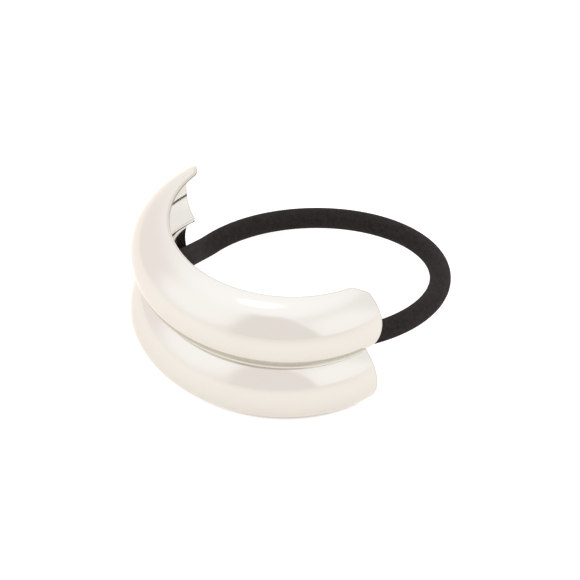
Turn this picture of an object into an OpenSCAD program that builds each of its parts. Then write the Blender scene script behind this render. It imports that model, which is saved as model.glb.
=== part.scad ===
// Ponytail cuff: a metal shell of two domed bands, one above the other, and a thick hair elastic.
// It stands on its lower rim. +Z is up, the crown of the cuff faces -Y and the elastic lies at +Y.
// The origin is the middle of the whole object's box, on the surface that the cuff stands on.

/* [Metal shell] */
// Radius of the two rims, to the outer corner of the wall
rim_r = 21.8; // [19:0.1:28]
// Angle that the shell covers round the ponytail
wrap_angle = 176; // [120:0.4:190]
// Height of one domed band
band_h = 13.4; // [11:0.1:17]
// How far a band swells out past the rims at the crown
crown_bulge = 6.85; // [5.5:0.05:9]
// How far a band swells out past the rims at the two ends
end_bulge = 5.7; // [4.5:0.1:7]
// Length over which the swell fades towards each end
fade_len = 24.5; // [10:0.5:30]
// Thickness of the metal
wall = 0.8; // [0.6:0.05:1]
// How far the upper rim's inner corner leans in past the outer corner
rim_lean = 0.4; // [0.2:0.05:0.8]
// How far the upper rim's inner corner lies below the outer corner
rim_step = 0.45; // [0.3:0.05:0.8]
// Width of the flat strip that the lower rim stands on
foot_w = 0.8; // [0.5:0.05:1.2]
// Thickness of the metal over that strip
foot_h = 0.7; // [0.4:0.05:1]

/* [Groove and ridge] */
// How far the bottom of the outer groove lies outside the rims, at the crown
groove_out = 3.7; // [2.8:0.1:4.5]
// How far it lies outside the rims at the two ends, where the groove is deeper
groove_end = 2.65; // [2:0.05:4]
// Length over which the groove deepens towards each end
groove_len = 18; // [8:0.5:25]
// Metal between the bottom of the outer groove and the inner ridge
groove_wall = 0.9; // [0.7:0.05:1.2]
// Width of the flat bottom of the outer groove
groove_w = 0.3; // [0.2:0.05:0.5]
// Width of the flat crest of the inner ridge
ridge_w = 0.8; // [0.4:0.1:1.4]

/* [Rounded corners of the ends] */
// Length over which a rim bends down to the end of its band
corner_len = 3.6; // [2:0.1:5]
// How far a rim has come down where the band ends
corner_drop = 0.85; // [0.6:0.05:2]
// How far the end is cut back at the groove
groove_cut = 0.95; // [0:0.05:1.5]
// How far the end is cut back at the rims
rim_cut = 0.95; // [0:0.05:1.5]
// Length over which the cuts fade out
cut_len = 6; // [4:0.5:10]

/* [Elastic] */
// Thickness of the elastic
cord_d = 4; // [3:0.1:4.2]
// Radius of the loop behind the cuff, to the middle of the elastic
loop_r = 23.9; // [22:0.1:26]
// How far the middle of that loop lies behind the middle of the cuff
loop_back = 8.7; // [6:0.1:11]
// How far the middle of that loop lies towards -X
loop_side = 1.45; // [0:0.05:2]
// Clearance between the elastic and the inner ridge
cord_gap = 0.2; // [0.1:0.05:0.4]
// How far the loop hangs below the ridge, at its middle
loop_sag = 4.45; // [1:0.05:5]
// How far the loop rises for each millimetre towards +X
side_slope = 0.187; // [0:0.001:0.22]
// How far the loop sinks for each millimetre towards +Y
back_slope = 0.076; // [0:0.002:0.12]

/* [Keepers] */
// Angle from the crown to each keeper
keeper_angle = 37; // [30:1:45]
// Thickness of the keeper's wire
wire_d = 1; // [0.8:0.05:1.2]
// Clearance round the elastic inside a keeper
keeper_gap = 0.2; // [0.1:0.05:0.4]

/* [Hidden] */

half_wrap = wrap_angle / 2;
total_h = 2 * band_h;
half_band = band_h / 2;
mm_per_degree = rim_r * PI / 180;
corner_angle = corner_len / mm_per_degree;

// The swell fades along a curve of this power, and a corner bends along one of this power
fade_power = 1.6;
corner_power = 2.5;
// How far a band's arc turns from its crest to a rim, and to the groove, which stays an open V
rim_stop = 77;
groove_stop = 62;

quarter_steps = 7;
wrap_steps = 50;
corner_steps = 6;
cord_sides = 12;
cord_steps = 96;
wire_fn = 16;

// The front of the elastic lies just inside the ridge, and eases out into the loop behind
cord_r = cord_d / 2;
wire_r = wire_d / 2;
front_r = rim_r + groove_out - groove_wall - cord_gap - cord_r;
// It comes level with the ridge over the longer of these two stretches, in degrees from behind
ease_from = 100;
level_from = 81;
ease_to = 142;

// The middle of the cuff, placed so that the origin is the middle of the whole object's box
front_y = rim_r + crown_bulge;
back_y = loop_back + loop_r + cord_r;
ring_y = (front_y - back_y) / 2;

silver = [0.86, 0.85, 0.83];
black = [0.13, 0.12, 0.12];

function ease(x) = let (u = max(0, min(1, x))) u * u * (3 - 2 * u);

// Distance along the rim from a station to the nearer end of the shell
function to_end(angle) = (half_wrap - abs(angle)) * mm_per_degree;

function swell(angle) =
    crown_bulge - (crown_bulge - end_bulge) * pow(max(0, 1 - to_end(angle) / fade_len), fade_power);

// How far the groove's bottom lies outside the rims at a station
function groove_at(angle) =
    groove_out - (groove_out - groove_end) * pow(max(0, 1 - to_end(angle) / groove_len), 2);

// Share of the half height that is left at a station: 1, and less where a corner is rounded
function rim_share(angle) =
    1 - corner_drop / half_band * pow(max(0, 1 - to_end(angle) / corner_len), corner_power);

// Half a band from its crest to an edge, as [outward, up or down from the crest]. The arc would end at
// base and rise; share is how much of the rise is left where a corner is rounded.
function half_dome(base, swell_out, rise, stop, share = 1, steps = quarter_steps) =
    [for (i = [0:steps])
        let (t = asin(share * sin(stop)) * i / steps)
        [swell_out - (swell_out - base) * (1 - cos(t)) / (1 - cos(stop)), rise * sin(t) / sin(stop)]];

function reversed(list) = [for (i = [len(list) - 1:-1:0]) list[i]];
function without_first(list) = [for (i = [1:len(list) - 1]) list[i]];

// Both bands from the upper rim to the lower one, as [outward, height]
function both_bands(top, groove, foot) =
    concat(
        [for (p = reversed(top)) [p[0], total_h - half_band + p[1]]],
        [for (p = without_first(groove)) [p[0], total_h - half_band - p[1]]],
        [for (p = reversed(groove)) [p[0], half_band + p[1]]],
        [for (p = without_first(foot)) [p[0], half_band - p[1]]]
    );

// The outer side goes on under the lower rim, along the flat strip that the cuff stands on
function outer_side(angle) =
    let (
        share = rim_share(angle),
        crest = swell(angle),
        edge = half_dome(0, crest, half_band, rim_stop, share),
        heel = half_dome(-foot_w, crest - wall, half_band - foot_h, rim_stop, share)
    )
    both_bands(
        edge,
        half_dome(groove_at(angle), crest, half_band - groove_w / 2, groove_stop),
        concat(edge, [[heel[quarter_steps][0], edge[quarter_steps][1]]])
    );

function inner_side(angle) =
    let (
        share = rim_share(angle),
        crest = swell(angle) - wall
    )
    both_bands(
        half_dome(-rim_lean, crest, half_band - rim_step, rim_stop, share),
        half_dome(groove_at(angle) - groove_wall, crest, half_band - ridge_w / 2, groove_stop),
        half_dome(-foot_w, crest, half_band - foot_h, rim_stop, share, quarter_steps + 1)
    );

// Angle by which the end is cut back at a height
function end_cut(angle, height) =
    let (
        from_groove = abs(height - band_h) / band_h,
        cut = rim_cut * pow(from_groove, 4) + groove_cut * pow(1 - from_groove, 2)
    )
    max(0, 1 - to_end(angle) / cut_len) * cut / mm_per_degree;

// Turns [outward, height] at a station into a point, with the crown at angle 0 facing -Y
function on_ring(angle, p) =
    let (turn = angle - sign(angle) * end_cut(angle, p[1]))
    [(rim_r + p[0]) * sin(turn), -(rim_r + p[0]) * cos(turn), p[1]];

stations = let (flat = half_wrap - corner_angle) concat(
    [for (i = [0:corner_steps - 1]) -half_wrap + corner_angle * i / corner_steps],
    [for (i = [0:wrap_steps]) -flat + 2 * flat * i / wrap_steps],
    [for (i = [1:corner_steps]) flat + corner_angle * i / corner_steps]
);

module double_dome() {
    rings = [for (a = stations)
        concat(
            [for (p = outer_side(a)) on_ring(a, p)],
            [for (p = reversed(inner_side(a))) on_ring(a, p)]
        )];
    n = len(rings[0]);
    last = len(rings) - 1;
    side = n / 2;
    walls = [for (i = [0:last - 1], k = [0:n - 1])
        let (m = (k + 1) % n)
        each [[i * n + k, (i + 1) * n + m, i * n + m], [i * n + k, (i + 1) * n + k, (i + 1) * n + m]]];
    last_end = [for (k = [0:side - 2]) [for (q = [k, n - 1 - k, n - 2 - k, k + 1]) last * n + q]];
    first_end = [for (k = [0:side - 2]) [k, k + 1, n - 2 - k, n - 1 - k]];
    polyhedron(points = [for (r = rings) each r], faces = concat(walls, first_end, last_end));
}

// Height above the ridge of a keeper's legs, and how far out the shell's inner face lies there
leg_z = cord_r + keeper_gap + wire_r;
leg_turn = asin((half_band - leg_z) / (half_band - ridge_w / 2) * sin(groove_stop));
leg_crest = swell(keeper_angle) - wall;
leg_ridge = groove_at(keeper_angle) - groove_wall;
leg_face = leg_crest - (leg_crest - leg_ridge) * (1 - cos(leg_turn)) / (1 - cos(groove_stop));

// A bent wire that goes round the elastic on the side of the hair, with both feet on the shell
module keeper(angle) {
    reach = rim_r + leg_face + wall / 2 - front_r;
    rotate([0, 0, angle - 90]) translate([front_r, 0, band_h]) rotate([90, 0, 0]) {
        rotate([0, 0, 90]) rotate_extrude(angle = 180, $fn = 2 * wire_fn)
            translate([leg_z, 0]) circle(r = wire_r, $fn = wire_fn);
        for (side = [-1, 1])
            translate([0, side * leg_z, 0]) rotate([0, 90, 0]) cylinder(h = reach, r = wire_r, $fn = wire_fn);
    }
}

module cuff_shell() {
    color(silver) translate([0, ring_y, 0]) union() {
        double_dome();
        for (side = [-1, 1]) keeper(side * keeper_angle);
    }
}

// Middle of the elastic at an angle from straight behind: a round loop that tilts behind, and in
// front a level ring just inside the ridge. It eases from one into the other before the keepers.
function loop_reach(angle) =
    let (
        ahead = loop_back * cos(angle) - loop_side * sin(angle),
        across = loop_back * sin(angle) + loop_side * cos(angle)
    )
    ahead + sqrt(pow(loop_r, 2) - pow(across, 2));
function cord_middle(angle) =
    let (
        held = ease((abs(angle) - ease_from) / (ease_to - ease_from)),
        level = ease((abs(angle) - level_from) / (ease_to - level_from)),
        r = loop_reach(angle) + (front_r - loop_reach(angle)) * held,
        x = r * sin(angle),
        y = r * cos(angle),
        tilted = -loop_sag + side_slope * x - back_slope * y
    )
    [x, y, band_h + tilted * (1 - level)];

function unit(v) = v / norm(v);

module elastic_ring() {
    path = [for (i = [0:cord_steps - 1]) cord_middle(-180 + 360 * i / cord_steps)];
    rings = [for (i = [0:cord_steps - 1])
        let (
            ahead = path[(i + 1) % cord_steps],
            behind = path[(i + cord_steps - 1) % cord_steps],
            along = unit(ahead - behind),
            out = unit(cross(along, [0, 0, 1])),
            up = cross(out, along)
        )
        [for (k = [0:cord_sides - 1])
            path[i] + cord_r * (cos(360 * k / cord_sides) * out - sin(360 * k / cord_sides) * up)]];
    faces = [for (i = [0:cord_steps - 1], k = [0:cord_sides - 1])
        let (
            j = (i + 1) % cord_steps,
            m = (k + 1) % cord_sides
        )
        each [[i * cord_sides + k, j * cord_sides + m, i * cord_sides + m],
              [i * cord_sides + k, j * cord_sides + k, j * cord_sides + m]]];
    polyhedron(points = [for (r = rings) each r], faces = faces);
}

module elastic_loop() {
    color(black) translate([0, ring_y, 0]) elastic_ring();
}

cuff_shell();
elastic_loop();
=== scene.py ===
# %% [markdown]
# # A ponytail cuff
#
# A ponytail cuff is a polished metal shell, rolled into two domed bands, that hides the elastic of a
# ponytail. The elastic is a thick knitted cord that runs along the inside of the shell and closes the
# loop behind it.
#
# This script dresses a finished mechanical model. The model's solids are loaded as a fixed frame, and
# each visible piece is then made again, finer, in exactly the same place: first the camera, then the
# metal and its finish, then the elastic, and last the floor and the light that the metal mirrors.

# %% Load the frame
import math

import bpy
from mathutils import Matrix, Vector


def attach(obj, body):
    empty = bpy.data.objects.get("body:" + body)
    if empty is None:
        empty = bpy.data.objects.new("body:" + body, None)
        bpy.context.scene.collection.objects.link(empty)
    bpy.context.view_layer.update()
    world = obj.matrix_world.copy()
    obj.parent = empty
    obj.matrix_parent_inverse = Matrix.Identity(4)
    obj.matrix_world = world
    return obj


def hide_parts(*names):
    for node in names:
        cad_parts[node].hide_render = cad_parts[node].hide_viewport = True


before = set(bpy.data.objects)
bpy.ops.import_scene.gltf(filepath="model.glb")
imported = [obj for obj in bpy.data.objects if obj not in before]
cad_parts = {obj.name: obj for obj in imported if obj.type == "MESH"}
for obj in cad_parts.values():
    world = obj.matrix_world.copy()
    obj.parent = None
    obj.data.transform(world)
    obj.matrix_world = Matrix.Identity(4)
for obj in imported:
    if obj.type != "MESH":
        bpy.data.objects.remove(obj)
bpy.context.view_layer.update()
MM = 0.001
print("frame nodes:", sorted(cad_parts))

# %% [markdown]
# ## The sizes that everything shares
#
# The shell is a ring section, so its sizes are radii, heights and lengths along the rim. They are the
# sizes of the mechanical model, in millimetres. A point of the cuff is given as an angle from the crown,
# which faces -Y, a distance out past the rims, and a height over the table.

# %% Sizes
RIM_RADIUS = 21.8
WRAP_ANGLE = 176
BAND_HEIGHT = 13.4
CROWN_BULGE = 6.85
CUFF_HEIGHT = 2 * BAND_HEIGHT
HALF_WRAP = WRAP_ANGLE / 2
MM_PER_DEGREE = RIM_RADIUS * math.pi / 180
ELASTIC_RADIUS = 2.0
LOOP_RADIUS, LOOP_BACK = 23.9, 8.7
MIDDLE_Y = (RIM_RADIUS + CROWN_BULGE - LOOP_BACK - LOOP_RADIUS - ELASTIC_RADIUS) / 2


def in_frame(x, y, z):
    """A point in millimetres from the middle of the cuff's ring, as a Blender point in metres."""
    return Vector((x, y + MIDDLE_Y, z)) * MM


def on_cuff(angle, outward, height):
    """A point at an angle from the crown, so far out past the rims and so high."""
    turn = math.radians(angle)
    radius = RIM_RADIUS + outward
    return in_frame(radius * math.sin(turn), -radius * math.cos(turn), height)


print("cuff", round(2 * (RIM_RADIUS + CROWN_BULGE), 1), "mm across,", CUFF_HEIGHT, "mm high")

# %% [markdown]
# ## The camera
#
# The picture looks down on the cuff from its right, at a long distance, so that the far and near parts
# are nearly the same size. A long lens does that. The camera could be aimed with a tracking constraint,
# but three axes written out also give the small roll of the picture. The lens shift then places the
# object in the square frame without turning the camera.

# %% Camera
AZIMUTH, ELEVATION, ROLL = 46.62, 39.16, 2.93
DISTANCE, LENS, SENSOR_WIDTH = 515.4, 172.7, 36
SHIFT_X, SHIFT_Y = 0.0093, -0.0224


def toward(azimuth, elevation):
    """Direction at an azimuth from the crown towards +X and an elevation, both in degrees."""
    turn, rise = math.radians(azimuth), math.radians(elevation)
    level = math.cos(rise)
    return Vector((math.sin(turn) * level, -math.cos(turn) * level, math.sin(rise)))


turn, roll = math.radians(AZIMUTH), math.radians(ROLL)
toward_camera = toward(AZIMUTH, ELEVATION)
level_right = Vector((math.cos(turn), math.sin(turn), 0))
level_up = toward_camera.cross(level_right)
right = level_right * math.cos(roll) + level_up * math.sin(roll)
up = level_up * math.cos(roll) - level_right * math.sin(roll)
axes = Matrix((right, up, toward_camera)).transposed().to_4x4()
stand = Matrix.Translation(in_frame(0, 0, BAND_HEIGHT) + toward_camera * DISTANCE * MM)

camera = bpy.data.objects.new("camera", bpy.data.cameras.new("camera"))
bpy.context.collection.objects.link(camera)
camera.matrix_world = stand @ axes
camera.data.sensor_width, camera.data.lens = SENSOR_WIDTH, LENS
camera.data.shift_x, camera.data.shift_y = SHIFT_X, SHIFT_Y
camera.data.clip_start, camera.data.clip_end = 0.01, 20
bpy.context.scene.camera = camera
print("camera", [round(v, 3) for v in camera.location])

# %% [markdown]
# ## Helpers for finishes
#
# Each finish is a set of shader nodes. Nodes could be made one at a time with four lines each. Short
# helpers say the same in one: `add` makes a node and sets its inputs, and a value that is itself a
# node's output is wired instead of set. `calc`, `blend` and `stretch` are the three kinds of node that
# come up most.

# %% Node helpers
def new_finish(name):
    """An empty material: its nodes, and its Principled shader."""
    finish = bpy.data.materials.new(name)
    finish.use_nodes = True
    return finish, finish.node_tree, finish.node_tree.nodes["Principled BSDF"]


def fill(tree, node, inputs):
    """Sets each named or numbered socket of a node, or wires it where the value is an output.
    A colour is given as three numbers."""
    for key, value in inputs.items():
        socket = node.inputs[key]
        if isinstance(value, bpy.types.NodeSocket):
            tree.links.new(value, socket)
        else:
            socket.default_value = (*value, 1) if socket.type == "RGBA" else value


def add(tree, kind, inputs=None, out=0, **settings):
    """Adds a node of that kind and returns its output called out. settings are its own options."""
    node = tree.nodes.new("ShaderNode" + kind)
    for key, value in settings.items():
        setattr(node, key, value)
    fill(tree, node, inputs or {})
    return node.outputs[out]


# %% Helpers for the commonest nodes
def calc(tree, operation, *values):
    """One step of arithmetic."""
    return add(tree, "Math", dict(enumerate(values)), operation=operation)


def blend(tree, share, first, second, **settings):
    """A colour that goes from the first to the second while share goes from 0 to 1."""
    return add(tree, "MixRGB", {"Fac": share, "Color1": first, "Color2": second}, **settings)


def stretch(tree, value, source, target=(0.0, 1.0), **settings):
    """Maps a value from the source range to the target range, and keeps it within the target."""
    ranges = {"From Min": source[0], "From Max": source[1], "To Min": target[0], "To Max": target[1]}
    return add(tree, "MapRange", {"Value": value, **ranges}, **settings)


# %% [markdown]
# ## Polished metal
#
# The cuff is plated and polished to a mirror, so nearly all that is seen on it is a reflection. Its own
# colour is a warm silver, and it returns about six tenths of the light. Where metal mirrors metal, as in
# the groove, the light is weakened twice, and that gives the groove its deep olive tone. A perfect
# mirror looks unreal, so the polish has very fine marks: a long soft noise changes the roughness a
# little, as fingers and cloths do, and a still finer one gives a bump of about a thousandth of a
# millimetre.

# %% Plating
DARK_PLATING, LIGHT_PLATING = (0.605, 0.598, 0.539), (0.615, 0.609, 0.553)
CLEAN_ROUGHNESS, HAZY_ROUGHNESS = 0.085, 0.13
BUFFING_DEPTH = 0.05

silver, tree, shader = new_finish("polished_silver")
place = add(tree, "TexCoord", out="Object")
tone = add(tree, "TexNoise", {"Vector": place, "Scale": 60, "Detail": 2})
plating = blend(tree, tone, DARK_PLATING, LIGHT_PLATING)
smudges = add(tree, "TexNoise", {"Vector": place, "Scale": 160, "Detail": 5, "Roughness": 0.6})
haze = stretch(tree, smudges, (0.3, 0.7), (CLEAN_ROUGHNESS, HAZY_ROUGHNESS))
buffing = add(tree, "TexNoise", {"Vector": place, "Scale": 2500, "Detail": 3})
marks = add(tree, "Bump", {"Height": buffing, "Strength": 0.02, "Distance": BUFFING_DEPTH * MM})
print("plating and polish:", len(tree.nodes), "nodes")

# %% [markdown]
# A thin darker line of painted shade follows the edges. It could be painted on edge by edge.
# Here the shader finds thin corners by itself: it looks a short way into the metal, and where that way
# soon ends there is an edge. A trace of painted shade darkens the bottom of the groove, which is marked
# in the mesh below. The specular tint makes the mirror a little weaker where it is seen at a slant.

# %% Painted shade on edges and groove
EDGE_REACH, EDGE_RANGE = 0.35, (0.97, 0.75)
EDGE_SHADE_COLOUR, EDGE_SHADE_SHARE = (0.3, 0.26, 0.2), 0.85
GROOVE_SHADE, GROOVE_SHADE_SHARE = (0.04, 0.025, 0.012), 0.06
SLANT_TINT = (0.93, 0.91, 0.87)

# Painted shade: a dark brown line wherever the metal ends within a short reach, at its edges.
inside = add(tree, "AmbientOcclusion", {"Distance": EDGE_REACH * MM}, out="AO",
             inside=True, samples=8)
edge_shade = stretch(tree, inside, EDGE_RANGE, (0, EDGE_SHADE_SHARE))
# Painted shade at the bottom of the groove, from the mask made with the mesh.
crease = add(tree, "Attribute", out="Fac", attribute_name="crease")
groove_shade = stretch(tree, crease, (0.7, 1.0), (0, GROOVE_SHADE_SHARE))
colour = blend(tree, groove_shade, blend(tree, edge_shade, plating, EDGE_SHADE_COLOUR), GROOVE_SHADE)
fill(tree, shader, {"Metallic": 1, "Specular Tint": SLANT_TINT, "Base Color": colour,
                    "Roughness": haze, "Normal": marks})
print("finish", silver.name, "nodes", len(tree.nodes))

# %% [markdown]
# ## The shell's cross section
#
# Cut through, the shell is a thin wall that runs from the upper rim over one dome, into the groove, over
# the second dome and down to the lower rim. A drawn spline would do for one section, but the section
# changes along the cuff: the domes fade a little towards the ends, and the bottom of the groove sinks
# with them. So the section is a function of the place along the cuff.

# %% How the section changes
END_BULGE, BULGE_FADE, BULGE_POWER = 5.7, 24.5, 1.6
CROWN_GROOVE, END_GROOVE, GROOVE_FADE, GROOVE_POWER = 3.7, 2.65, 18.0, 2


def to_end(angle):
    """Length of rim from a station to the nearer end of the shell."""
    return (HALF_WRAP - abs(angle)) * MM_PER_DEGREE


def fading(angle, length, power):
    """1 at the end of the shell, falling to 0 over that length."""
    return max(0.0, 1 - to_end(angle) / length) ** power


def crest_at(angle):
    """How far the domes stand out past the rims."""
    return CROWN_BULGE - (CROWN_BULGE - END_BULGE) * fading(angle, BULGE_FADE, BULGE_POWER)


def groove_at(angle):
    """How far the bottom of the groove stands out past the rims."""
    return CROWN_GROOVE - (CROWN_GROOVE - END_GROOVE) * fading(angle, GROOVE_FADE, GROOVE_POWER)


for name, angle in (("crown", 0), ("ends", HALF_WRAP)):
    print(name, "dome", round(crest_at(angle), 2), "groove", round(groove_at(angle), 2))

# %% [markdown]
# Each half dome is an arc: it starts at the crest, where the wall stands upright, and stops before it
# lies flat. Two domes, an upper and a lower, and two halves of each make one side of the wall.

# %% Half domes
HALF_BAND = BAND_HEIGHT / 2


def half_dome(base, crest, rise, stop, steps, share=1.0):
    """Points [outward, up] from the crest of a dome to its edge. An arc that ran on to stop would end at
    base and rise; share is how much of the rise is left where a corner is rounded."""
    last = math.asin(share * math.sin(math.radians(stop)))
    flat = 1 - math.cos(math.radians(stop))
    points = []
    for step in range(steps + 1):
        turn = last * step / steps
        points.append((crest - (crest - base) * (1 - math.cos(turn)) / flat,
                       rise * math.sin(turn) / math.sin(math.radians(stop))))
    return points


def wall_side(rim, groove, foot):
    """One side of the wall from the upper rim down to the lower one, from three kinds of half dome."""
    upper, lower = CUFF_HEIGHT - HALF_BAND, HALF_BAND
    side = [(out, upper + up) for out, up in reversed(rim)]
    side += [(out, upper - up) for out, up in groove[1:]]
    side += [(out, lower + up) for out, up in reversed(groove)]
    side += [(out, lower - up) for out, up in foot[1:]]
    return side


# %% [markdown]
# The wall has two sides, an outer and an inner one, with as many points each, so that the ends can be
# closed with plain quads. At the upper rim the wall is cut on a slant. At the lower rim it turns under,
# into the narrow flat strip that the cuff stands on.

# %% The closed outline of the wall
WALL, GROOVE_WALL = 0.8, 0.9
GROOVE_WIDTH, RIDGE_WIDTH = 0.3, 0.8
RIM_LEAN, RIM_STEP = 0.4, 0.45
FOOT_WIDTH, FOOT_THICKNESS = 0.8, 0.7
CORNER_LENGTH, CORNER_DROP, CORNER_POWER = 3.6, 0.85, 2.5
RIM_STOP, GROOVE_STOP = 77, 62
DOME_STEPS = 16


def section_outline(angle):
    """(outer side, inner side) of the wall at a station, each from the upper rim to the lower one."""
    share = 1 - CORNER_DROP / HALF_BAND * fading(angle, CORNER_LENGTH, CORNER_POWER)
    crest, groove = crest_at(angle), groove_at(angle)
    inner_crest, inner_rise = crest - WALL, HALF_BAND - FOOT_THICKNESS
    rim = half_dome(0, crest, HALF_BAND, RIM_STOP, DOME_STEPS, share)
    inner_rim = half_dome(-RIM_LEAN, inner_crest, HALF_BAND - RIM_STEP, RIM_STOP, DOME_STEPS, share)
    valley = half_dome(groove, crest, HALF_BAND - GROOVE_WIDTH / 2, GROOVE_STOP, DOME_STEPS)
    ridge = half_dome(groove - GROOVE_WALL, inner_crest, HALF_BAND - RIDGE_WIDTH / 2, GROOVE_STOP,
                      DOME_STEPS)
    inner_foot = half_dome(-FOOT_WIDTH, inner_crest, inner_rise, RIM_STOP, DOME_STEPS + 1, share)
    heel = (inner_foot[-1][0], rim[-1][1])
    return wall_side(rim, valley, rim + [heel]), wall_side(inner_rim, ridge, inner_foot)


crown_outer, crown_inner = section_outline(0)
print("points a side:", len(crown_outer), len(crown_inner), "crest", round(max(crown_outer)[0], 2))

# %% [markdown]
# ## Sweeping the section round the cuff
#
# The wall is a grid of quads: the outline, repeated at stations round the ring. A Solidify modifier
# could thicken a single sheet, but then the rims would be square to the wall everywhere. The grid keeps
# the slanted rim. The stations are closer together in the rounded corners of the ends. The ends are cut
# back a little, most where the groove runs out and at the rims.

# %% Stations and the ends' cut
CUT_LENGTH, DEEPEST_CUT = 6.0, 0.95
POWER_AT_RIM, POWER_AT_GROOVE = 4, 2
STATIONS_ROUND, STATIONS_AT_CORNER = 150, 12


def end_cut(angle, height):
    """Degrees by which the shell's end is cut back at a height."""
    off_groove = abs(height - BAND_HEIGHT) / BAND_HEIGHT
    cut = DEEPEST_CUT * off_groove ** POWER_AT_RIM + DEEPEST_CUT * (1 - off_groove) ** POWER_AT_GROOVE
    return fading(angle, CUT_LENGTH, 1) * cut / MM_PER_DEGREE


def station_angles():
    """Angles of all stations, from one end of the shell to the other."""
    corner = CORNER_LENGTH / MM_PER_DEGREE
    level = HALF_WRAP - corner
    ends = [level + corner * i / STATIONS_AT_CORNER for i in range(1, STATIONS_AT_CORNER + 1)]
    middle = [-level + 2 * level * i / STATIONS_ROUND for i in range(STATIONS_ROUND + 1)]
    return [-a for a in reversed(ends)] + middle + ends


angles = station_angles()
print("stations", len(angles), "cut at the groove", round(end_cut(HALF_WRAP, BAND_HEIGHT), 1), "degrees")

# %% Build the shell
def wall_points(angles):
    """The closed outline at each station, one ring of points after the other."""
    points = []
    for angle in angles:
        outer, inner = section_outline(angle)
        for outward, height in outer + inner[::-1]:
            cut = math.copysign(end_cut(angle, height), angle)
            points.append(on_cuff(angle - cut, outward, height))
    return points


def wall_faces(stations, ring):
    """Quads from station to station all round the wall, and quads that close its two ends."""
    faces = []
    for i in range(stations - 1):
        for k in range(ring):
            a, b = i * ring + k, i * ring + (k + 1) % ring
            faces.append((a, b, b + ring, a + ring))
    last = (stations - 1) * ring
    for k in range(ring // 2 - 1):
        faces.append((k, ring - 1 - k, ring - 2 - k, k + 1))
        faces.append((last + k, last + k + 1, last + ring - 2 - k, last + ring - 1 - k))
    return faces


metal_points = wall_points(angles)
ring_points = len(metal_points) // len(angles)
shell_mesh = bpy.data.meshes.new("cuff_metal")
shell_mesh.from_pydata(metal_points, [], wall_faces(len(angles), ring_points))
shell_mesh.validate()
print("shell", len(shell_mesh.vertices), "points", len(shell_mesh.polygons), "faces")

# %% [markdown]
# ## Softened edges
#
# No polished edge is sharp: the buffing wheel takes the corner off. A Bevel modifier does that here. It
# works only on the edges that are given a weight: most at the outlines of the two ends, half as much
# at the corners of both rims, and least at the bottom of the groove. The domes stay as they are. The
# bottom of the groove is also marked for the finish, which paints shade there.

# %% Weigh the edges
SOFT_END, SOFT_RIM, SOFT_GROOVE = 1.0, 0.5, 0.3
side_points = ring_points // 2
upper_rim_rows = {0, ring_points - 1}
foot_rows = {side_points - 2, side_points - 1, side_points}
groove_rows = {2 * DOME_STEPS, 2 * DOME_STEPS + 1}


def softness(i, j):
    """Weight of the edge between two points of the grid, by their numbers."""
    (station_a, row_a), (station_b, row_b) = divmod(i, ring_points), divmod(j, ring_points)
    if row_a == row_b and station_a != station_b:
        if row_a in upper_rim_rows | foot_rows:
            return SOFT_RIM
        return SOFT_GROOVE if row_a in groove_rows else 0.0
    neighbours = abs(row_a - row_b) == 1 or {row_a, row_b} == upper_rim_rows
    at_an_end = station_a == station_b and station_a in (0, len(angles) - 1)
    return SOFT_END if at_an_end and neighbours else 0.0


# A mask on the groove's bottom rows, where the finish paints shade.
groove_shade_mask = shell_mesh.attributes.new("crease", "FLOAT", "POINT")
for point in shell_mesh.vertices:
    groove_shade_mask.data[point.index].value = 1.0 if point.index % ring_points in groove_rows else 0.0
weights = shell_mesh.attributes.new("bevel_weight_edge", "FLOAT", "EDGE")
for edge in shell_mesh.edges:
    weights.data[edge.index].value = softness(*edge.vertices)
shell_mesh.shade_smooth()
print("softened edges", sum(weight.value > 0 for weight in weights.data))

# %% Place the shell
BEVEL_WIDTH, BEVEL_STEPS = 0.28, 3


def put(name, data, finish):
    """Puts a mesh or a curve into the scene under a name and gives it its finish."""
    piece = bpy.data.objects.new(name, data)
    bpy.context.collection.objects.link(piece)
    data.materials.append(finish)
    return piece


shell = put("cuff_metal", shell_mesh, silver)
rounding = shell.modifiers.new("soft_edges", "BEVEL")
rounding.limit_method, rounding.harden_normals = "WEIGHT", True
rounding.width, rounding.segments = BEVEL_WIDTH * MM, BEVEL_STEPS
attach(shell, "root")
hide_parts("cuff_shell")
print("placed", shell.name)

# %% [markdown]
# ## The two keepers
#
# Inside the shell, on both sides of the crown, a bent wire holds the elastic close to the ridge. The
# wires are hidden in the picture but show from behind. A swept mesh would do, but a curve with a round
# bevel is the natural way to make a wire, and a larger radius at its two feet makes the fillet of solder
# there. Each wire goes in along one leg, round the elastic in a bow, and out along the other leg.

# %% Keepers
KEEPER_ANGLE, WIRE_RADIUS, CLEARANCE = 37, 0.5, 0.2
LEG_STEPS, BOW_STEP = (2.0, 1.6, 1.2, 0.6, -0.8), 12
FILLET_FROM, FILLET_FLARE = 0.9, 0.9
RIDGE_OUT = CROWN_GROOVE - GROOVE_WALL
HELD_RADIUS = RIM_RADIUS + RIDGE_OUT - CLEARANCE - ELASTIC_RADIUS
BOW_RADIUS = ELASTIC_RADIUS + CLEARANCE + WIRE_RADIUS


def keeper_route():
    """Rows of (radius, height in bow radii over the ridge, thickness in wire radii)."""
    leg = [(RIM_RADIUS + RIDGE_OUT + out, 1 + FILLET_FLARE * max(0, out - FILLET_FROM))
           for out in LEG_STEPS]
    bow = [math.radians(degrees) for degrees in range(0, 181, BOW_STEP)]
    return ([(radius, 1, thick) for radius, thick in leg]
            + [(HELD_RADIUS - BOW_RADIUS * math.sin(turn), math.cos(turn), 1) for turn in bow]
            + [(radius, -1, thick) for radius, thick in reversed(leg)])


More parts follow.
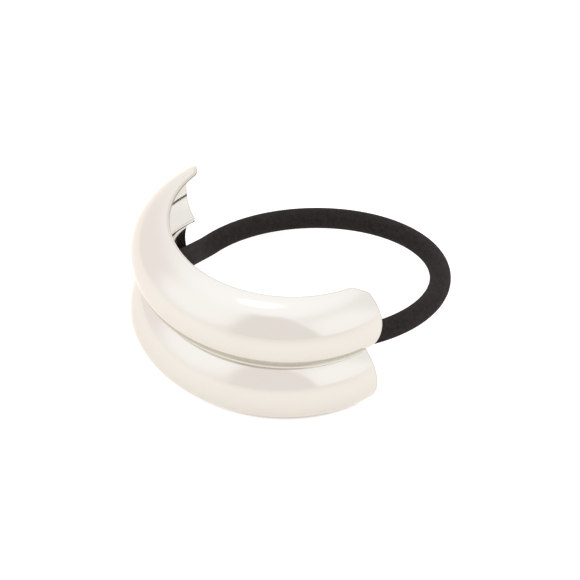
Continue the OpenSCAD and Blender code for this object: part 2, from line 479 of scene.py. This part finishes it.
def keeper_wire(name, angle):
    """One keeper at an angle from the crown."""
    curve = bpy.data.curves.new(name, "CURVE")
    curve.dimensions, curve.use_fill_caps = "3D", True
    curve.bevel_depth, curve.bevel_resolution = WIRE_RADIUS * MM, 5
    route = keeper_route()
    spline = curve.splines.new("POLY")
    spline.points.add(len(route) - 1)
    for point, (radius, side, thick) in zip(spline.points, route):
        point.co = (*on_cuff(angle, radius - RIM_RADIUS, BAND_HEIGHT + side * BOW_RADIUS), 1)
        point.radius = thick
    wire = put(name, curve, silver)
    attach(wire, "root")


for name, angle in (("keeper_left", -KEEPER_ANGLE), ("keeper_right", KEEPER_ANGLE)):
    keeper_wire(name, angle)
    print(name, "at", angle, "degrees from the crown")

# %% [markdown]
# ## The route of the elastic
#
# The elastic is one closed ring. Behind, it is a round loop that hangs a little, tilts, and lies a
# little to one side. In front it comes level, just inside the ridge, where the keepers hold it. The route
# is a function of the angle from straight behind, and is then walked in equal steps, so that the
# stitches keep their size.

# %% Route
LOOP_SIDE, LOOP_SAG = 1.45, 4.45
SIDE_SLOPE, BACK_SLOPE = 0.187, 0.076
EASE_FROM, LEVEL_FROM, EASE_TO = 100, 81, 142


def ease(x):
    """0 up to 0 and 1 from 1 on, with a smooth rise between."""
    u = max(0.0, min(1.0, x))
    return u * u * (3 - 2 * u)


def elastic_middle(angle):
    """Middle of the elastic, in millimetres from the middle of the ring."""
    turn = math.radians(angle)
    ahead = LOOP_BACK * math.cos(turn) - LOOP_SIDE * math.sin(turn)
    across = LOOP_BACK * math.sin(turn) + LOOP_SIDE * math.cos(turn)
    loop = ahead + math.sqrt(LOOP_RADIUS ** 2 - across ** 2)
    held = ease((abs(angle) - EASE_FROM) / (EASE_TO - EASE_FROM))
    level = ease((abs(angle) - LEVEL_FROM) / (EASE_TO - LEVEL_FROM))
    radius = loop + (HELD_RADIUS - loop) * held
    x, y = radius * math.sin(turn), radius * math.cos(turn)
    return Vector((x, y, BAND_HEIGHT + (SIDE_SLOPE * x - BACK_SLOPE * y - LOOP_SAG) * (1 - level)))


print("elastic behind:", [round(v, 1) for v in elastic_middle(0)])

# %% Walk it in equal steps
ELASTIC_RINGS, FINE_STEPS = 720, 2880


def equal_steps(function, count, fine):
    """Points at equal distances along a closed route, and its length."""
    dense = [function(-180 + 360 * i / fine) for i in range(fine + 1)]
    walked = [0.0]
    for a, b in zip(dense, dense[1:]):
        walked.append(walked[-1] + (b - a).length)
    route, k = [], 0
    for i in range(count):
        goal = walked[-1] * i / count
        while walked[k + 1] < goal:
            k += 1
        route.append(dense[k].lerp(dense[k + 1], (goal - walked[k]) / (walked[k + 1] - walked[k])))
    return route, walked[-1]


route, route_length = equal_steps(elastic_middle, ELASTIC_RINGS, FINE_STEPS)
print("elastic", round(route_length, 1), "mm round its middle")

# %% [markdown]
# ## The knitted tube
#
# The cord's cover is a fine knitted tube: columns of small stitches that run along it. A smooth tube
# with a bump map would lose its edge against the light, so the columns are in the mesh: each ring has
# four points a column, and the radius swells over each column's middle. Two numbers are stored at each
# point for the finish to use: the distance along the cord, and the number of columns round it.

# %% Knit the tube
COLUMNS, POINTS_A_COLUMN, RIB_HEIGHT = 28, 4, 0.045
SIDES = COLUMNS * POINTS_A_COLUMN


def knit_points():
    """Points of all rings, and for each point its distance along the cord and its column."""
    points, yarn = [], []
    for i, middle in enumerate(route):
        along = (route[(i + 1) % ELASTIC_RINGS] - route[i - 1]).normalized()
        out = along.cross(Vector((0, 0, 1))).normalized()
        lift = out.cross(along)
        walked = route_length * i / ELASTIC_RINGS
        for k in range(SIDES):
            turn, column = 2 * math.pi * k / SIDES, k / POINTS_A_COLUMN
            rib = 0.5 + 0.5 * math.cos(2 * math.pi * column)
            radius = ELASTIC_RADIUS - RIB_HEIGHT * (1 - rib)
            points.append(in_frame(*(middle + radius * (math.cos(turn) * out - math.sin(turn) * lift))))
            yarn.append((walked, column, 0))
    return points, yarn


def knit_faces():
    """Quads from ring to ring. The last ring joins the first one."""
    faces = []
    for i in range(ELASTIC_RINGS):
        for k in range(SIDES):
            j, m = (i + 1) % ELASTIC_RINGS, (k + 1) % SIDES
            faces.append((i * SIDES + k, i * SIDES + m, j * SIDES + m, j * SIDES + k))
    return faces


elastic_points, yarn = knit_points()
elastic_mesh = bpy.data.meshes.new("elastic_cord")
elastic_mesh.from_pydata(elastic_points, [], knit_faces())
stitches = elastic_mesh.attributes.new("yarn", "FLOAT_VECTOR", "POINT")
stitches.data.foreach_set("vector", [value for row in yarn for value in row])
elastic_mesh.shade_smooth()
print("elastic", len(elastic_mesh.polygons), "faces")

# %% [markdown]
# ## The elastic's finish
#
# Black knitted elastic is not black but a warm charcoal, because its loose fibres catch light. One dark
# colour with a strong sheen would turn pale at the cord's sides, so a noise mixes a dark and a lighter
# yarn, and only a trace of sheen is added. The stitches are small slanted waves on each column, and a
# fine noise breaks them up into fibres.

# %% Stitches
STITCH_LENGTH, STITCH_SLANT, FIBRE_HEIGHT = 0.5, 5.0, 1.6
STITCH_DEPTH = 0.04

black, tree, shader = new_finish("knitted_elastic")
place = add(tree, "TexCoord", out="Object")
yarn_at = add(tree, "Attribute", out="Vector", attribute_name="yarn")
parts = add(tree, "SeparateXYZ", {"Vector": yarn_at}).node.outputs
from_middle = calc(tree, "SUBTRACT", calc(tree, "FRACT", parts["Y"]), 0.5)
slant = calc(tree, "ABSOLUTE", from_middle)
pitch = calc(tree, "MULTIPLY", parts["X"], 2 * math.pi / STITCH_LENGTH)
stitch = calc(tree, "SINE", calc(tree, "MULTIPLY_ADD", slant, STITCH_SLANT, pitch))
fibres = add(tree, "TexNoise", {"Vector": place, "Scale": 5200, "Detail": 6, "Roughness": 0.7})
height = calc(tree, "MULTIPLY_ADD", fibres, FIBRE_HEIGHT, stitch)
relief = add(tree, "Bump", {"Height": height, "Strength": 0.5, "Distance": STITCH_DEPTH * MM})
print("stitches", STITCH_LENGTH, "mm long")

# %% Charcoal yarn
DARK_YARN, LIGHT_YARN = (0.0095, 0.0083, 0.0079), (0.0325, 0.0278, 0.0262)
SHEEN_TINT = (0.95, 0.82, 0.78)

fluff = add(tree, "TexNoise", {"Vector": place, "Scale": 1100, "Detail": 8, "Roughness": 0.75})
shade = blend(tree, stretch(tree, fluff, (0.24, 0.76)), DARK_YARN, LIGHT_YARN)
fill(tree, shader, {"Base Color": shade, "Roughness": 0.85, "Normal": relief,
                    "Sheen Weight": 0.02, "Sheen Roughness": 0.5, "Sheen Tint": SHEEN_TINT,
                    "Specular IOR Level": 0.04})
print("finish", black.name, "nodes", len(tree.nodes))

# %% Place the elastic
elastic = put("elastic_cord", elastic_mesh, black)
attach(elastic, "root")
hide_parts("elastic_loop")
print("placed", elastic.name)

# %% [markdown]
# ## The floor
#
# A mirror shows its room, so the room is part of the finish. The cuff stands on a white light table in
# a white tent. The room is brighter than the picture can show, so bare table comes out pure white and
# faint shadows don't show on it, while the metal, which weakens the light, still mirrors them. A plain
# white floor would also do, but then the hanging elastic would throw a grey shadow.

# %% Floor
REACH = 4.0  # metres

floor_mesh = bpy.data.meshes.new("floor")
corners = [(-REACH, -REACH, 0), (REACH, -REACH, 0), (REACH, REACH, 0), (-REACH, REACH, 0)]
floor_mesh.from_pydata(corners, [], [(0, 1, 2, 3)])
paper, tree, shader = new_finish("white_table")
floor = put("floor", floor_mesh, paper)
print("floor", 2 * REACH, "m wide")

# %% [markdown]
# The table glows through a sheet of glass. The glass lets a little less light out at a slant, which is
# what its Fresnel share says, and farther from the cuff the table is also dimmer towards the open side
# of the tent. Close under the overhang of the lower band no light gets in, and the table is dark there.
# One even glow would be simpler, but then the metal would mirror a floor with no depth.

# %% Where the table is dim
OPEN_SIDE, NEAR_OPEN_SIDE = 56, (0.5, 0.9)
FADE_START, FADE_END = 0.02, 0.16  # metres
OPEN_SIDE_LOSS, SLANT_LOSS, GLASS_IOR = 0.13, 0.12, 1.5

spot = add(tree, "TexCoord", out="Object")
distance = add(tree, "VectorMath", {0: spot}, out="Value", operation="LENGTH")
far = stretch(tree, distance, (FADE_START, FADE_END))
bearing = add(tree, "VectorMath", {0: spot}, operation="NORMALIZE")
bearings = {0: bearing, 1: toward(OPEN_SIDE, 0)}
share = add(tree, "VectorMath", bearings, out="Value", operation="DOT_PRODUCT")
near_side = stretch(tree, share, NEAR_OPEN_SIDE, interpolation_type="SMOOTHSTEP")
unlit = calc(tree, "MULTIPLY", calc(tree, "MULTIPLY", far, near_side), OPEN_SIDE_LOSS)
slant = add(tree, "Fresnel", {"IOR": GLASS_IOR})
dim = calc(tree, "MULTIPLY_ADD", slant, SLANT_LOSS, unlit)
print("the table fades from", FADE_START / MM, "to", FADE_END / MM, "mm")

# %% Glow of the table
GLOW, DARK, UNDER_THE_CUFF = (1.0, 0.955, 0.95), (0, 0, 0), (0.04, 0.03, 0.02)
OVERHANG, OVERHANG_RANGE, OVERHANG_SHARE = 1.1, (0.72, 0.32), 0.75
TABLE_WHITE = (0.47, 0.456, 0.447)

cover = add(tree, "AmbientOcclusion", {"Distance": OVERHANG * MM}, out="AO", samples=16)
under = stretch(tree, cover, OVERHANG_RANGE, (0, OVERHANG_SHARE))
glow = blend(tree, under, blend(tree, dim, GLOW, DARK), UNDER_THE_CUFF)
fill(tree, shader, {"Base Color": TABLE_WHITE, "Roughness": 0.9, "Specular IOR Level": 0.0,
                    "Emission Color": glow, "Emission Strength": 0.825})
print("finish", paper.name, "nodes", len(tree.nodes))

# %% [markdown]
# ## The tent
#
# The tent is the world's background, and only its direction matters. It is a white cloth, and no part
# of it is quite as bright as the next. Two panels are brighter, the far left and the right behind are
# greyer, and overhead a lamp shines through. Each of these is a soft round patch. A photographed
# surrounding would do the same, but patches can be moved one at a time.

# %% Directions in the tent
world = bpy.data.worlds.new("light_tent")
world.use_nodes = True
bpy.context.scene.world = world
tree = world.node_tree
direction = add(tree, "TexCoord", out="Generated")


def step_over(axis, low, high):
    """0 to 1 where the direction's share along an axis goes from low to high."""
    inputs = {0: direction, 1: axis}
    share = add(tree, "VectorMath", inputs, out="Value", operation="DOT_PRODUCT")
    return stretch(tree, share, (low, high), interpolation_type="SMOOTHSTEP")


def patch(azimuth, elevation, reach, core):
    """1 within core degrees of a direction, falling to 0 at reach degrees."""
    edge, full = math.cos(math.radians(reach)), math.cos(math.radians(core))
    return step_over(toward(azimuth, elevation), edge, full)


# %% Cloth, panels and greys
CLOTH = (1.0, 0.975, 1.01)
PATCHES = [  # name, azimuth, elevation, reach, core, light
    ("grey wall, far left", -78, 15, 42, 12, (0.95, 0.885, 0.902)),
    ("shade round the opening", 32, 15, 46, 20, (0.98, 0.923, 0.939)),
    ("panel, front left", -20, 35, 40, 8, (1.08, 1.05, 1.095)),
    ("panel, right", 100, 25, 36, 10, (1.07, 1.04, 1.086)),
    ("grey wall, behind right", 158, 30, 42, 22, (0.95, 0.93, 0.965)),
    ("haze round the lamp", -85, 82, 42, 12, (1.11, 1.087, 1.152)),
]

light = add(tree, "RGB")
light.default_value = (*CLOTH, 1)
for name, azimuth, elevation, reach, core, colour in PATCHES:
    light = blend(tree, patch(azimuth, elevation, reach, core), light, colour, label=name)
print("tent with", len(PATCHES), "patches")

# %% [markdown]
# The side with the camera is open and darker. It is a wedge between two planes through the middle,
# with one soft seam and one crisp one, and it ends well below the top. A round patch would be simpler,
# but its mirror image on the domes would lack the straight sides that a real opening has. Each patch is
# laid over those before it, so the lamp, the brightest spot, comes last.

# %% Opening and lamp
SOFT_SEAM, CRISP_SEAM, DOWN = (0.966, 0.259, 0.0), (-0.225, -0.974, -0.19), (0, 0, -1)
OPENING_LIGHT, LAMP_LIGHT = (0.895, 0.839, 0.85), (1.6, 1.5, 1.55)
ROOM_STRENGTH = 1.4

wedge = calc(tree, "MULTIPLY", step_over(SOFT_SEAM, -0.13, 0.08), step_over(CRISP_SEAM, -0.03, 0.03))
opening = calc(tree, "MULTIPLY", wedge, step_over(DOWN, -0.961, -0.883))
lamp = patch(azimuth=-76, elevation=81.5, reach=8.5, core=3)
light = blend(tree, opening, light, OPENING_LIGHT, label="opening")
light = blend(tree, lamp, light, LAMP_LIGHT, label="lamp")
fill(tree, tree.nodes["Background"], {"Color": light, "Strength": ROOM_STRENGTH})
print("tent", world.name, "nodes", len(tree.nodes))

# %% [markdown]
# The picture is a product shot on white, where white paper has to come out white. So the view shows
# the colours as they are, with no film curve.

# %% Plain view
bpy.context.scene.view_settings.view_transform = "Standard"
print("view", bpy.context.scene.view_settings.view_transform)
